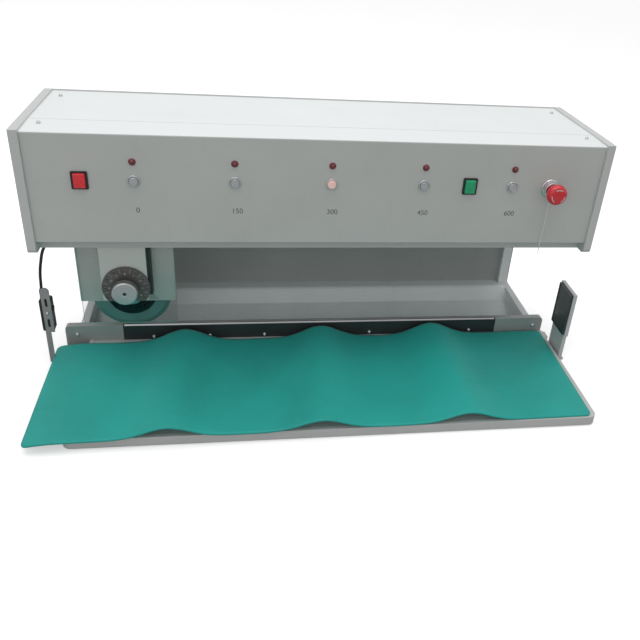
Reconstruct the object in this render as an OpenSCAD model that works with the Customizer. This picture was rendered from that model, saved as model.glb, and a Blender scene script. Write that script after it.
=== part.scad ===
// Benchtop PCB depaneling machine: a round blade on a belt-driven carriage rolls along a
// fixed straight blade and parts scored circuit boards, which slide out over a matted tray.
// X runs left to right, Y runs from the operator to the back, Z is up. The origin is the
// centre of the floor rectangle that the machine covers.

/* [Hood] */
// Width of the front panel between the two end plates
hood_w = 905; // [880:5:930]
// Depth of the hood from the front panel to the back plate
hood_depth = 238; // [230:1:245]
// Height of the front panel
panel_h = 176; // [170:1:182]
// Height of the top of the front panel above the floor
hood_top = 432; // [426:1:438]
// Fall of the top cover from front to back
cover_fall = 5; // [0:1:8]
// Thickness of the end plates
end_t = 13; // [10:1:15]
// Depth of the front panel's return over the top, up to the cover's seam
seam_y = 62; // [50:1:70]
// Depth of the front panel's lower stiffening channel
channel_depth = 20; // [16:1:24]
// Thickness of the hood's sheet metal
sheet_t = 1.5; // [1.2:0.1:2]

/* [Controls] */
// Distance between neighbouring cutting-length buttons
button_pitch = 150; // [140:1:155]
// Drop from the top of the panel to the buttons
button_drop = 72; // [66:1:80]
// Radius of the metal ring round each button
bezel_r = 9.6; // [9:0.1:11]
// Radius of each button's cap
cap_r = 6.6; // [6:0.1:7]
// Press travel of a button
button_travel = 3; // [2:0.5:3]
// Width and height of the square illuminated switches
switch_size = [24, 28]; // [20:1:30]
// Radius of the emergency stop's mushroom head
estop_r = 17; // [15:0.5:19]
// Press travel of the emergency stop
estop_travel = 5; // [4:0.5:6]

/* [Cutting head] */
// Blade axis from the machine's centre with the carriage parked at the left
park_x = -332; // [-340:1:-325]
// Travel of the carriage along the rails
carriage_travel = 640; // [600:5:645]
// Radius of the round blade
blade_r = 68; // [64:0.5:70]
// Thickness of the round blade
blade_t = 3; // [2.5:0.1:3.5]
// Gap between the round blade and the straight blade
blade_gap = 0.6; // [0.4:0.1:1.5]
// Radius of the black clamping flange
flange_r = 42; // [36:1:46]
// Radius of the index dial
dial_r = 39; // [36:1:40]
// Number of index holes round the full dial
dial_holes = 12; // [8:1:16]
// Radius of the adjusting knob
knob_r = 21; // [18:0.5:23]

/* [Base] */
// Length of the front beam
beam_w = 904; // [890:2:910]
// Height of the top of the front beam and side plates
beam_top = 48; // [46:1:50]
// Thickness of the front beam
beam_t = 12; // [11:1:13]
// Length of the straight blade's holder
holder_w = 706; // [690:2:720]
// Distance between the outer faces of the base's side plates
base_w = 852; // [844:2:860]
// Thickness of the base's side plates
side_t = 13; // [10:1:14]
// Thickness of the back plate
back_t = 10; // [8:1:12]

/* [Tray and mat] */
// Height of the tray's rim
tray_top = 18; // [17:1:20]
// Left end of the tray
tray_x0 = -412; // [-420:1:-405]
// Right end of the tray
tray_x1 = 454; // [450:1:458]
// How far the tray reaches in front of the panel
tray_reach = 186; // [180:1:190]
// Width and depth of the rubber mat
mat_size = [911, 266]; // [260:1:920]
// Thickness of the mat
mat_t = 2.5; // [2:0.1:3]

/* [Hidden] */
$fn = 64;
panel_y = -29.5;                       // front face of the hood panel
middle_x = 3;                          // middle of the front panel
panel_z = hood_top - panel_h;          // lower edge of the front panel
end_z = panel_z - 18;                  // lower edge of the end plates
half_w = hood_w / 2;
button_z = hood_top - button_drop;
led_z = hood_top - 42;
button_x = [for (i = [-2:2]) i * button_pitch];
red_x = -377;
green_x = 227;
estop_x = 367;
estop_z = hood_top - 73;

beam_y = 88;                           // front face of the beam, behind the panel
blade_y = beam_y + 3;                  // plane of both cutting edges
blade_z = beam_top + blade_gap + blade_r;
rail_y = 170;                          // front face of the rail beam
rail_z = [290, 370];
rail_w = 15;
rail_h = 13;
belt_z = 330;
belt_y = 114;
belt_w = 10;
belt_t = 1.5;
pulley_r = 16;
pulley_x = [-432, 412];
spindle_r = 10;
bearing_r = 17.5;
bearing_w = 11;
arm_y0 = 98;
arm_y1 = 134;
tongue_w = 14;
head_w = 158;                          // width of the carriage's front plate
plate_y = 60;                          // front face of the carriage's front plate
plate_z = 116;
block_y = 38;
block_z = 130;
dial_z = 155;
guard_z = 72;
upright_x = 402;
upright_w = 18;
sensor_x = -466;                       // middle of the sensor's body
sensor_y = 42;
reflector_x = 455;
run = 0.05;                            // running clearance of a shaft in its bore
slack = 0.3;                           // clearance between pieces that slide past each other

// Route of the sensor's lead, from the end plate down to the sensor
lead_path = [[-448, 50, 247], [-448, 50, 239], [-451, 50, 230], [-456, 50, 222], [-460, 50, 212],
             [-463, 50, 200], [-466, 50, 186], [-468, 50, 172], [-469, 50, 157], [-470, 50, 142],
             [-470, 50, 133]];
lead_r = 2.4;
// Route of the thin tag string that hangs from the emergency stop's collar
string_path = [[367, -7, 345.8], [367, -7, 338], [367, -7, 325], [368, -6, 310], [368, -5, 295],
               [368, -4, 280], [368, -3, 265], [368, -3, 250], [368, -3, 240]];
string_r = 0.6;

// ---- shared shapes ----

function unit(v) = v / norm(v);
function left_of(v) = [-v[1], v[0]];
function angle_between(a, b) = acos(max(-1, min(1, a * b)));

// Points of a round bend of radius r at corner b between a and c
function bend(a, b, c, r, n = 5) =
    let (u = unit(a - b), v = unit(c - b), half = angle_between(u, v) / 2,
         reach = r / tan(half), hub = b + unit(u + v) * r / sin(half),
         s = b + u * reach - hub, e = b + v * reach - hub, sweep = 180 - 2 * half)
    [for (k = [0:n]) hub + (sin((n - k) / n * sweep) * s + sin(k / n * sweep) * e) / sin(sweep)];

// A polyline whose inner corners are bent to radius r
function bent(pts, r) =
    [pts[0], for (i = [1:len(pts) - 2]) each bend(pts[i - 1], pts[i], pts[i + 1], r),
     pts[len(pts) - 1]];

// Offset of a polyline to its left by d
function beside(pts, d) =
    [for (i = [0:len(pts) - 1])
        let (a = left_of(unit(pts[max(i, 1)] - pts[max(i, 1) - 1])),
             j = min(i, len(pts) - 2), b = left_of(unit(pts[j + 1] - pts[j])), m = unit(a + b))
        pts[i] + m * d / (m * a)];

function reversed(pts) = [for (i = [len(pts) - 1:-1:0]) pts[i]];

// A strip of sheet metal: the profile lies in Y and Z and runs from x0 to x1
module folded_sheet(pts, r, t, x0, x1) {
    path = bent(pts, r);
    along_x(x0, x1) polygon(concat(path, reversed(beside(path, t))));
}

// Extrudes a profile drawn in Y and Z along X
module along_x(x0, x1) {
    translate([x0, 0, 0]) rotate([90, 0, 90]) linear_extrude(x1 - x0) children();
}

// Extrudes a profile drawn in X and Z along Y
module along_y(y0, y1) {
    translate([0, y1, 0]) rotate([90, 0, 0]) linear_extrude(y1 - y0) children();
}

// A box given by its lowest and highest corners
module block(a, b) {
    translate(a) cube(b - a);
}

// A rectangle with round corners, given by two corners
module round_rect(a, b, r) {
    translate([a[0] + r, a[1]]) square([b[0] - a[0] - 2 * r, b[1] - a[1]]);
    translate([a[0], a[1] + r]) square([b[0] - a[0], b[1] - a[1] - 2 * r]);
    for (x = [a[0] + r, b[0] - r], y = [a[1] + r, b[1] - r])
        translate([x, y]) circle(r);
}

// A cylinder whose axis runs along Y from y0 to y1
module rod(x, z, r, y0, y1) {
    translate([x, y1, z]) rotate([90, 0, 0]) cylinder(r = r, h = y1 - y0);
}

// A turned part: the profile holds radius and Y, and its axis is at x and z
module turned(x, z, pts) {
    translate([x, 0, z]) rotate([-90, 0, 0]) rotate_extrude() polygon(pts);
}

// Points of a quarter-round edge on a turned part: centre, radius and start angle
function arc_pts(c, r, a0, a1, n = 6) =
    [for (k = [0:n]) let (a = a0 + (a1 - a0) * k / n) c + r * [cos(a), sin(a)]];

// Everything is placed from the front face of the hood panel
module from_panel() {
    translate([middle_x, panel_y, 0]) children();
}

// A screw with a domed head whose face points along dir
module screw(p, dir, r = 3.5) {
    a = dir[1] < 0 ? [90, 0, 0] : dir[1] > 0 ? [-90, 0, 0] : dir[0] < 0 ? [0, -90, 0]
      : dir[0] > 0 ? [0, 90, 0] : [0, 0, 0];
    translate(p) rotate(a) difference() {
        rotate_extrude() polygon(concat([[0, 0], [r, 0], [r, r * 0.3]],
                                        arc_pts([0, r * 0.3], r, 10, 90, 4) ));
        translate([0, 0, r * 0.6]) cylinder(r = r * 0.45, h = r, $fn = 6);
    }
}

// Sweeps a tube of radius r with n sides along hand-placed points
module tube(path, r, n = 8) {
    last = len(path) - 1;
    rings = [for (i = [0:last])
        let (t = unit(path[min(i + 1, last)] - path[max(i - 1, 0)]),
             u = unit(cross(t, [0, 1, 0])), v = cross(u, t))
        each [for (k = [0:n - 1]) path[i] + r * (cos(360 * k / n) * u + sin(360 * k / n) * v)]];
    faces = concat([[for (k = [0:n - 1]) k]],
        [for (i = [0:last - 1], k = [0:n - 1])
            [i * n + k, (i + 1) * n + k, (i + 1) * n + (k + 1) % n, i * n + (k + 1) % n]],
        [[for (k = [n - 1:-1:0]) last * n + k]]);
    polyhedron(rings, faces);
}

// ---- base ----

module base_plate() {
    color("gainsboro") from_panel()
        block([-base_w / 2, beam_y + beam_t, 2], [base_w / 2, hood_depth, 5]);
}

// Two thick plates that tie the front beam to the back plate
module side_plates() {
    color("whitesmoke") from_panel() for (s = [-1, 1]) {
        x = s * (base_w / 2 - side_t / 2);
        block([x - side_t / 2, beam_y + beam_t, 5], [x + side_t / 2, hood_depth, beam_top]);
    }
}

// Beam across the front; its middle is cut back to seat the blade holder
module front_beam() {
    color("silver") from_panel() difference() {
        along_y(beam_y, beam_y + beam_t)
            difference() {
                round_rect([-beam_w / 2, 2], [beam_w / 2, beam_top], 7);
                translate([-beam_w / 2 - 1, beam_top - 7]) square([1, 7]);
            }
        block([-holder_w / 2, beam_y - 1, 16], [holder_w / 2, beam_y + 8, beam_top + 1]);
    }
}

module blade_holder() {
    color("dimgray") from_panel() difference() {
        block([-holder_w / 2, beam_y, 16], [holder_w / 2, beam_y + 8, beam_top - 3]);
        block([-holder_w / 2 - 1, blade_y - 1.2, 26], [holder_w / 2 + 1, blade_y + 1.2, beam_top]);
    }
}

// Straight blade with a double-bevelled edge, standing in the holder's groove
module straight_blade() {
    color("lightsteelblue") from_panel()
        along_x(-holder_w / 2 + 2, holder_w / 2 - 2)
            polygon([[blade_y - 1.2, 26], [blade_y + 1.2, 26], [blade_y + 1.2, beam_top - 2.5],
                     [blade_y + 0.1, beam_top], [blade_y - 0.1, beam_top],
                     [blade_y - 1.2, beam_top - 2.5]]);
}

// Sloping sheet behind the beam: it leads parted boards down from the back plate
module chute() {
    color("lightgray") from_panel() difference() {
        folded_sheet([[hood_depth, 50], [hood_depth - 24, 50], [hood_depth - 44, 26],
                      [hood_depth - 90, 14], [beam_y + beam_t + 12, 7], [beam_y + beam_t, 7]],
                     9, -2, -base_w / 2 + side_t, base_w / 2 - side_t);
        for (s = [-1, 1])
            block([s * 410 - 9, hood_depth - 10.5, 40], [s * 410 + 9, hood_depth + 1, 60]);
    }
}

// One plate closes the hood's back and carries it on the base
module back_plate() {
    color("silver") from_panel() difference() {
        along_y(hood_depth, hood_depth + back_t)
            union() {
                translate([-half_w - end_t, end_z])
                    square([hood_w + 2 * end_t, hood_top - cover_fall - end_z]);
                translate([-base_w / 2, 2]) square([base_w, end_z]);
            }
        for (i = [0:13], k = [0, 1])
            block([-330 + k * 500 + i * 12, hood_depth - 1, 300],
                  [-325 + k * 500 + i * 12, hood_depth + back_t + 1, 350]);
        block([-27, hood_depth - 1, 280], [1, hood_depth + back_t + 1, 300]);
    }
}

module uprights() {
    color("gainsboro") from_panel() for (s = [-1, 1]) {
        x = s * (upright_x + upright_w / 2);
        block([x - upright_w / 2, hood_depth - 10, beam_top],
              [x + upright_w / 2, hood_depth, panel_z + 44]);
    }
}

// Shallow pan of sheet metal in front of the beam
module tray() {
    color("lightgray") from_panel() difference() {
        union() {
            translate([0, 0, 2]) linear_extrude(tray_top - 2) tray_outline(0);
            translate([0, 0, tray_top - 4]) linear_extrude(3.5)
                round_rect([tray_x1 - 10, 62], [tray_x1 + 6, 84], 4);
        }
        translate([0, 0, tray_top - 1]) linear_extrude(2) tray_outline(8);
        translate([0, 0, 1]) linear_extrude(tray_top - 4.5) tray_outline(1.5);
    }
}

// The tray seen from above, drawn in by d at its three free sides
module tray_outline(d) {
    r = 14 - d / 2;
    difference() {
        round_rect([tray_x0 + d, -tray_reach + d], [tray_x1 - d, beam_y + 20], r);
        translate([tray_x0 - 1, beam_y]) square([tray_x1 - tray_x0 + 2, 30]);
    }
}

// Height of the mat's folds across its width
function mat_fold(x) = 21 * (exp(-pow((x + 250) / 46, 2)) + exp(-pow((x + 6) / 46, 2))
                            + exp(-pow((x - 222) / 46, 2)));

module rubber_mat() {
    w = mat_size[0];
    steps = [for (i = [0:72]) -w / 2 + w * i / 72];
    color("seagreen") from_panel()
        translate([-10, -55.3, tray_top + 0.2])
            multmatrix([[1, 0.011, 0, 0], [0.0125, 1, 0, 0], [0, 0, 1, 0], [0, 0, 0, 1]])
            along_y(-mat_size[1] / 2, mat_size[1] / 2)
                polygon(concat([for (x = steps) [x, mat_fold(x - 10)]],
                               [for (x = reversed(steps)) [x, mat_fold(x - 10) + mat_t]]));
}

module rubber_feet() {
    color("black") from_panel() {
        for (x = [-base_w / 2 + 30, base_w / 2 - 30], y = [beam_y + 40, hood_depth - 25])
            translate([x, y, 0]) cylinder(r = 14, h = 2);
        for (x = [tray_x0 + 40, tray_x1 - 40])
            translate([x, -tray_reach + 30, 0]) cylinder(r = 9, h = tray_top - 3.5);
    }
}

// ---- hood ----

// Bent sheet: lower channel, front face and a short return over the top
module front_panel() {
    color("darkgray") from_panel() difference() {
        folded_sheet([[channel_depth, end_z], [channel_depth, panel_z], [0, panel_z],
                      [0, hood_top], [seam_y, hood_top]], 2.5, -sheet_t, -half_w, half_w);
        for (x = button_x) {
            rod(x, button_z, 8.1, -1, 4);
            rod(x, led_z, 3.6, -1, 4);
        }
        for (x = [red_x, green_x])
            block([x - 10.5, -1, button_z - 13.1], [x + 10.5, 4, button_z + 13.1]);
        rod(estop_x, estop_z, 11.1, -1, 4);
    }
}

// Slightly sloping sheet between the end plates
module top_cover() {
    color("white") from_panel()
        along_x(-half_w, half_w)
            polygon([[seam_y + 0.6, hood_top], [hood_depth, hood_top - cover_fall],
                     [hood_depth, hood_top - cover_fall - sheet_t],
                     [seam_y + 0.6, hood_top - sheet_t]]);
}

module end_plate(x0) {
    r = 9;
    along_x(x0, x0 + end_t) difference() {
        union() {
            translate([-4, end_z + r]) square([hood_depth + 4, hood_top + 3 - end_z - r]);
            translate([-4 + r, end_z]) square([hood_depth + 4 - r, r + 1]);
            translate([-4 + r, end_z + r]) circle(r);
        }
        polygon([[20, hood_top + 3], [hood_depth + 1, hood_top + 3 - cover_fall],
                 [hood_depth + 1, hood_top + 4], [20, hood_top + 4]]);
    }
}

module end_plate_left() {
    color("whitesmoke") from_panel() end_plate(-half_w - end_t);
}

module end_plate_right() {
    color("whitesmoke") from_panel() end_plate(half_w);
}

// ---- drive inside the hood ----

module rail_beam() {
    color("silver") from_panel()
        block([-half_w, rail_y, 268], [half_w, rail_y + 20, 392]);
}

module linear_rails() {
    color("slategray") from_panel() for (z = rail_z) difference() {
        block([-half_w + 10, rail_y - rail_h, z - rail_w / 2],
              [half_w - 10, rail_y, z + rail_w / 2]);
        for (s = [-1, 1])
            along_x(-half_w, half_w) polygon([[rail_y - 9, z + s * rail_w], [rail_y - 9, z + s * 7.5],
                [rail_y - 7, z + s * 5.5], [rail_y - 5, z + s * 7.5], [rail_y - 5, z + s * rail_w]]);
    }
}

module motor() {
    x = pulley_x[1];
    color("dimgray") from_panel() difference() {
        union() {
            block([x - 38, 60, belt_z - 38], [x + 38, 101, belt_z + 38]);
            rod(x, belt_z, 35, 26, 60);
            for (i = [0:3]) rod(x, belt_z, 37, 30 + i * 7, 33 + i * 7);
        }
        rod(x, belt_z, 6 + run, 70, 102);
    }
}

module motor_bracket() {
    x = pulley_x[1];
    color("silver") from_panel() difference() {
        union() {
            block([x - 42, 101, belt_z - 42], [half_w, 107, belt_z + 42]);
            block([half_w - 6, 60, belt_z - 42], [half_w, 101, belt_z - 38.2]);
        }
        rod(x, belt_z, 12, 100, 108);
    }
}

// Plate with the fixed axle that the idler pulley turns on
module idler_bracket() {
    x = pulley_x[0];
    color("silver") from_panel() {
        block([-half_w, 101, belt_z - 26], [x + 20, 107, belt_z + 26]);
        rod(x, belt_z, 9, 107, 111.5);
        rod(x, belt_z, 6, 107, 127);
    }
}

// Closed loop round both pulleys
module drive_belt() {
    color("black") from_panel() along_y(belt_y, belt_y + belt_w) difference() {
        loop(pulley_r + belt_t);
        loop(pulley_r);
    }
}

module loop(r) {
    for (x = pulley_x) translate([x, belt_z]) circle(r);
    translate([pulley_x[0], belt_z - r]) square([pulley_x[1] - pulley_x[0], 2 * r]);
}

// Toothed pulley with two flanges; hub is the radius of its bore, 0 when it has a shaft
module pulley(x, hub) {
    teeth = 24;
    difference() {
        union() {
            rod(x, belt_z, pulley_r - 0.1, belt_y - 0.4, belt_y + belt_w + 0.4);
            rod(x, belt_z, 19, belt_y - 2, belt_y - slack);
            rod(x, belt_z, 19, belt_y + belt_w + slack, belt_y + belt_w + 2);
        }
        for (i = [0:teeth - 1])
            translate([x, 0, belt_z]) rotate([0, i * 360 / teeth, 0])
                block([pulley_r - 1.1, belt_y - slack, -0.8],
                      [pulley_r + 1, belt_y + belt_w + slack, 0.8]);
        if (hub > 0) rod(x, belt_z, hub, belt_y - 3, belt_y + belt_w + 3);
    }
}

module drive_pulley() {
    color("silver") from_panel() {
        pulley(pulley_x[1], 0);
        rod(pulley_x[1], belt_z, 6, 74, belt_y);
    }
}

module idler_pulley() {
    color("silver") from_panel() pulley(pulley_x[0], 6 + run);
}

module power_supply() {
    y1 = hood_depth;
    color("gainsboro") from_panel() difference() {
        block([130, y1 - 40, 290], [300, y1, 388]);
        for (i = [0:9], k = [0:4])
            rod(150 + i * 14, 304 + k * 14, 3, y1 - 41, y1 - 36);
        block([284, y1 - 41, 296], [301, y1 - 24, 382]);
    }
}

module control_board() {
    y1 = hood_depth;
    color("darkgreen") from_panel() {
        difference() {
            block([-300, y1 - 12, 290], [-110, y1 - 10.4, 400]);
            for (x = [-294, -116], z = [296, 394]) rod(x, z, 1.6, y1 - 13, y1 - 10);
        }
        for (x = [-294, -116], z = [296, 394]) rod(x, z, 4, y1 - 10.4, y1);
        block([-280, y1 - 15, 350], [-252, y1 - 12, 378]);
        for (i = [0:4]) block([-285 + i * 32, y1 - 28, 298], [-262 + i * 32, y1 - 12, 316]);
        for (i = [0:2]) rod(-225 + i * 22, 364, 7, y1 - 32, y1 - 12);
        for (i = [0:1]) block([-160 + i * 24, y1 - 27, 342], [-143 + i * 24, y1 - 12, 376]);
    }
}

// Slotted light barriers that tell the carriage's five stopping places
module position_sensors() {
    color("black") from_panel() for (i = [0:4]) {
        x = park_x + 20 + i * button_pitch;
        difference() {
            block([x - 13, 150, 392], [x + 13, rail_y + 14, 404]);
            block([x - 14, 149, 397], [x + 14, 161, 401]);
        }
    }
}

// ---- controls ----

module button_rings() {
    color("silver") from_panel() for (x = button_x)
        turned(x, button_z, concat([[cap_r + 0.05, 14], [8, 14], [8, 0], [bezel_r, 0],
               [bezel_r, -1.2]], arc_pts([bezel_r - 1.3, -1.2], 1.3, 0, -90),
               [[cap_r + 1.4, -2.5], [cap_r + 0.05, -1.6]]));
}

module button(x) {
    crown = 30;
    rise = crown - sqrt(crown * crown - cap_r * cap_r);
    color("gainsboro") from_panel() turned(x, button_z, concat([[0, 10], [cap_r, 10]],
        [for (k = [0:6]) let (q = cap_r * (1 - k / 6))
            [q, -4.4 - rise + crown - sqrt(crown * crown - q * q)]]));
}

module button_0() { button(button_x[0]); }
module button_1() { button(button_x[1]); }
module button_2() { button(button_x[2]); }
module button_3() { button(button_x[3]); }
module button_4() { button(button_x[4]); }

// Small round lamps with a domed lens
module indicator_lamps() {
    color("darkred") from_panel() for (x = button_x)
        turned(x, led_z, concat([[0, 12], [3.5, 12], [3.5, 0], [5.4, 0], [5.4, -1], [4.2, -1.4]],
                                arc_pts([0, -1.4], 4, 0, -90)));
}

// Frames of the two square switches, open in the middle for their caps
module switch_frames() {
    w = switch_size[0] / 2;
    h = switch_size[1] / 2;
    color("black") from_panel() for (x = [red_x, green_x]) difference() {
        union() {
            along_y(-2.4, 0) round_rect([x - w, button_z - h], [x + w, button_z + h], 2);
            block([x - 10.4, 0, button_z - 13], [x + 10.4, 20, button_z + 13]);
        }
        block([x - 9, -3, button_z - 11.8], [x + 9, 17, button_z + 11.8]);
    }
}

module switch_cap(x) {
    from_panel() difference() {
        along_y(-6, 12) round_rect([x - 8.7, button_z - 11.5], [x + 8.7, button_z + 11.5], 1);
        along_y(-7, -5.6) round_rect([x - 6.7, button_z - 9.5], [x + 6.7, button_z + 9.5], 1);
    }
}

module red_switch() { color("red") switch_cap(red_x); }
module green_switch() { color("green") switch_cap(green_x); }

module estop_collar() {
    color("silver") from_panel() difference() {
        turned(estop_x, estop_z, concat([[0, 24], [11, 24], [11, 0], [16, 0], [16, -2]],
               [[14.5, -3.5], [12.5, -4], [12.5, -10]], arc_pts([11, -10], 1.5, 0, -90), [[0, -11.5]]));
        rod(estop_x, estop_z, 7 + run, -12, 18);
    }
}

// Mushroom head on its stem
module estop_head() {
    r = estop_r;
    color("red") from_panel() turned(estop_x, estop_z, concat(
        [[0, 6], [7, 6], [7, -17], [10, -20.5], [r - 3, -23], [r, -26], [r, -31]],
        arc_pts([r - 7, -31], 7, 0, -80, 6), [[0, -39]]));
}

module tag_string() {
    color("white") from_panel() tube(string_path, string_r);
}

module mains_inlet() {
    y = hood_depth + back_t;
    color("black") from_panel() difference() {
        union() {
            along_y(y, y + 2) round_rect([-38, 273], [12, 307], 3);
            block([-26.8, y - 22, 280.2], [0.8, y, 299.8]);
        }
        block([-24, y - 16, 282], [-2, y + 3, 298]);
    }
    color("silver") from_panel() for (k = [0:2])
        block([-20 + k * 6, y - 18, 287], [-18 + k * 6, y - 2, 293]);
}

// ---- light barrier at the two ends of the tray ----

// Upright strip with a round top; its foot is bolted to the tray's left side
module sensor_bracket() {
    x = sensor_x + 2;
    y = sensor_y;
    color("gray") from_panel() {
        difference() {
            along_y(y, y + 2.5) union() {
                translate([x - 7, 66]) square([14, 79]);
                translate([x, 145]) circle(7);
                translate([x - 8, 5]) square([8.5, 62]);
            }
            for (z = [84, 124]) along_y(y - 1, y + 4) union() {
                translate([x - 2, z - 6]) square([4, 12]);
                for (e = [-6, 6]) translate([x, z + e]) circle(2);
            }
        }
        block([x - 8, y, 4], [tray_x0, y + 20, 7]);
    }
}

module sensor() {
    x = sensor_x;
    y = sensor_y + 2.5;
    color("black") from_panel() {
        along_y(y, y + 16) round_rect([x - 10, 67], [x + 9, 128], 3);
        translate([x + 9, y + 8, 108]) rotate([0, 90, 0]) cylinder(r = 5, h = 1.5);
        translate([x - 4, y + 5.5, 128]) cylinder(r = 4, h = 5);
    }
}

module sensor_lead() {
    color("black") from_panel() tube(lead_path, lead_r);
}

// Small box inside the hood where the sensor's lead ends
module lead_junction() {
    color("black") from_panel() block([-half_w, 44, 247], [-half_w + 10, 56, 262]);
}

// Plate that faces the sensor from the tray's right side
module reflector_bracket() {
    x = reflector_x + 4;
    color("gray") from_panel() difference() {
        union() {
            along_x(x, x + 7) union() {
                translate([0, 60]) square([60, 89]);
                translate([4, 8]) square([52, 53]);
            }
            block([tray_x1, 4, 4], [tray_x1 + 16, 56, 8]);
        }
    }
}

module reflector() {
    x = reflector_x;
    color("slategray") from_panel() difference() {
        along_x(x, x + 4) round_rect([2, 62], [58, 147], 2);
        along_x(x - 1, x + 0.8) round_rect([5, 65], [55, 144], 1.5);
    }
}

// ---- cutting head, on the carriage ----

// Plate on the rail blocks; its top tab passes through the light barriers' slots
module saddle() {
    color("silver") from_panel() difference() {
        union() {
            block([park_x - 80, arm_y1, 262], [park_x + 80, arm_y1 + 12, 398]);
            block([park_x - 10, arm_y1 + 2, 398], [park_x + 10, arm_y1 + 24, 400]);
        }
        for (s = [-1, 1], z = rail_z) for (d = [-12, 12])
            rod(park_x + s * 52 + d, z, 2.6, arm_y1 - 1, arm_y1 + 13);
    }
}

module rail_blocks() {
    y0 = arm_y1 + 12;
    color("slategray") from_panel() for (s = [-1, 1], z = rail_z) {
        x = park_x + s * 52;
        difference() {
            block([x - 24, y0, z - 17], [x + 24, rail_y - 2.5, z + 17]);
            block([x - 25, rail_y - rail_h - slack, z - rail_w / 2 - slack],
                  [x + 25, rail_y, z + rail_w / 2 + slack]);
        }
    }
}

// Machined arm from the saddle to the front plate, with a pocket for the spindle housing
module head_arm() {
    x = park_x;
    w = 40;
    z = blade_z + blade_r + 32;
    color("gray") from_panel() difference() {
        union() {
            block([x - w, arm_y0, z], [x + w, arm_y1, 300]);
            block([x - w, plate_y + 6, z], [x + w, arm_y0 + 1, 270]);
        }
        block([x - tongue_w - run, arm_y0 + 10 - run, z - 1],
              [x + tongue_w + run, arm_y1 - 10 + run, z + 40]);
        for (s = [-1, 1])
            block([x + s * w - 12, plate_y + 14, z - 1], [x + s * w + 12, arm_y0 - 8, 271]);
    }
}

// Housing of the blade's spindle; its tongue is clamped in the arm's pocket
module spindle_housing() {
    x = park_x;
    z = blade_z + blade_r + 30;
    color("lightgray") from_panel() difference() {
        union() {
            along_y(arm_y0, arm_y1) union() {
                translate([x - 32, blade_z]) square([64, z - blade_z]);
                translate([x, blade_z]) circle(32);
            }
            block([x - tongue_w, arm_y0 + 10, z - 1], [x + tongue_w, arm_y1 - 10, z + 38]);
        }
        rod(x, blade_z, 14, arm_y0 - 1, arm_y1 + 1);
        rod(x, blade_z, bearing_r, arm_y0 - 1, arm_y0 + bearing_w);
        rod(x, blade_z, bearing_r, arm_y1 - bearing_w, arm_y1 + 1);
        for (e = [-1, 1])
            block([x + e * 32 - 10, arm_y0 + 8, blade_z + 42], [x + e * 32 + 10, arm_y1 - 8, z - 12]);
    }
}

module head_plate() {
    x0 = park_x - head_w / 2 - 1;
    color("silver") from_panel() along_y(plate_y, plate_y + 6)
        round_rect([x0, plate_z], [x0 + head_w, 275], 2);
}

// Upright block that carries the dial; the knob's stem runs in its bore
module adjuster_block() {
    x = park_x - 2;
    color("lightgray") from_panel() difference() {
        block([x - 37, block_y, block_z], [x + 37, plate_y, 270]);
        rod(park_x, dial_z, 8 + run, block_y - 1, block_y + 14);
    }
}

module slide_gib() {
    x = park_x + 35;
    color("darkslategray") from_panel() block([x, block_y + 8, block_z + 6], [x + 6, plate_y, 270]);
}

// Index dial with a ring of holes, cut straight below along the block's lower edge
module index_dial() {
    color("dimgray") from_panel() difference() {
        rod(park_x, dial_z, dial_r, block_y - 3, block_y);
        rod(park_x, dial_z, 8 + run, block_y - 4, block_y + 1);
        for (i = [0:dial_holes - 1]) let (a = 90 + i * 360 / dial_holes)
            rod(park_x + 34 * cos(a), dial_z + 34 * sin(a), 1.8, block_y - 4, block_y + 1);
        block([park_x - dial_r, block_y - 4, dial_z - dial_r - 1],
              [park_x + dial_r, block_y + 1, block_z]);
    }
}

// Clear sheet in front of the head plate that hangs down before the blade
module blade_guard() {
    x0 = park_x - head_w / 2 + 1;
    x = park_x - 2;
    color([0.6, 0.85, 0.8, 0.5]) from_panel() along_y(plate_y - 3, plate_y) difference() {
        round_rect([x0, guard_z], [x0 + head_w - 1, 270], 2);
        translate([x - 37.4, block_z - 0.4]) square([81, 150]);
    }
}

module belt_clamp() {
    z = belt_z + pulley_r;
    color("silver") from_panel() difference() {
        block([park_x - 20, belt_y - 4, z - 9], [park_x + 20, arm_y1, z + 11]);
        block([park_x - 21, belt_y - 5, z - 0.4], [park_x + 21, belt_y + belt_w + 0.4, z + belt_t + 0.4]);
    }
}

module spindle_bearings() {
    color("silver") from_panel() for (y = [arm_y0, arm_y1 - bearing_w]) difference() {
        rod(park_x, blade_z, bearing_r, y, y + bearing_w);
        rod(park_x, blade_z, spindle_r + run, y - 1, y + bearing_w + 1);
        for (e = [y - 0.6, y + bearing_w - 0.4]) difference() {
            rod(park_x, blade_z, 15.5, e, e + 1);
            rod(park_x, blade_z, 12, e - 1, e + 2);
        }
    }
}

// Spindle: nose for the blade, collar behind it and shaft in the bearings
module spindle() {
    y = blade_y - blade_t / 2;
    color("gainsboro") from_panel() turned(park_x, blade_z,
        [[0, y - 14], [8, y - 14], [9, y - 13], [9, y - 9], [20, y - 9], [20, y + blade_t],
         [28, y + blade_t], [28, arm_y0 - 1.2], [13, arm_y0 - 1.2], [13, arm_y0 - 0.3],
         [spindle_r, arm_y0 - 0.3], [spindle_r, arm_y1 + 0.4],
         [9, arm_y1 + 0.4], [9, arm_y1 + 1], [0, arm_y1 + 1]]);
}

// Black clamping flange with four pin holes, seated on the spindle's nose
module blade_flange() {
    y = blade_y - blade_t / 2;
    color("black") from_panel() difference() {
        turned(park_x, blade_z, [[20, y], [flange_r, y], [flange_r, y - 5], [flange_r - 3, y - 8],
                                 [24, y - 9], [20, y - 9]]);
        for (i = [0:3]) rod(park_x + 31 * cos(45 + 90 * i), blade_z + 31 * sin(45 + 90 * i), 2.5,
                            y - 10, y - 4);
    }
}

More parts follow.
